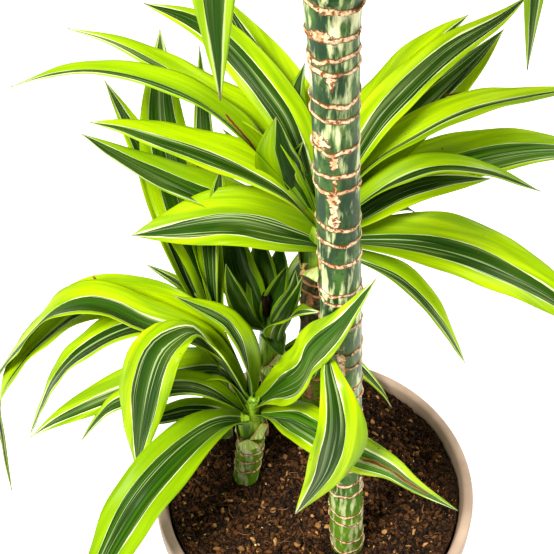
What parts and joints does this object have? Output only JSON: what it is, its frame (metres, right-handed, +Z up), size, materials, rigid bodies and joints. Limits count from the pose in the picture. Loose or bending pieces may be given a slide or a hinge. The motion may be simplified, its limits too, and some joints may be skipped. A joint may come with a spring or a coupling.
{
  "type": "potted corn plant",
  "caption": "Potted corn plant: bare ringed canes of unlike height in a round tapered pot, each topped by a head of arching leaves with bright margins and dark centres.",
  "frame": {"origin": "centre of the pot's flat underside", "axes": "+Z up along the pot's axis; -Y towards the side on which the tallest cane and the short cane stand"},
  "size_m": [0.4491, 0.4358, 0.8856],
  "materials": {
    "pot": "matt taupe",
    "soil": "loose, dark and fibrous",
    "cane": "green bark with pale streaks and tan leaf scars",
    "leaf": "glossy, dark green centre with yellow-green margins"
  },
  "bodies": {
    "root": {"pot": "pot", "soil": "soil", "cane_tall": "cane", "cane_medium": "cane", "cane_middle": "cane", "cane_back": "cane", "cane_short": "cane", "head_tall": "leaf", "head_medium": "leaf", "head_middle": "leaf", "head_back": "leaf", "head_short": "leaf"}
  },
  "joints": []
}
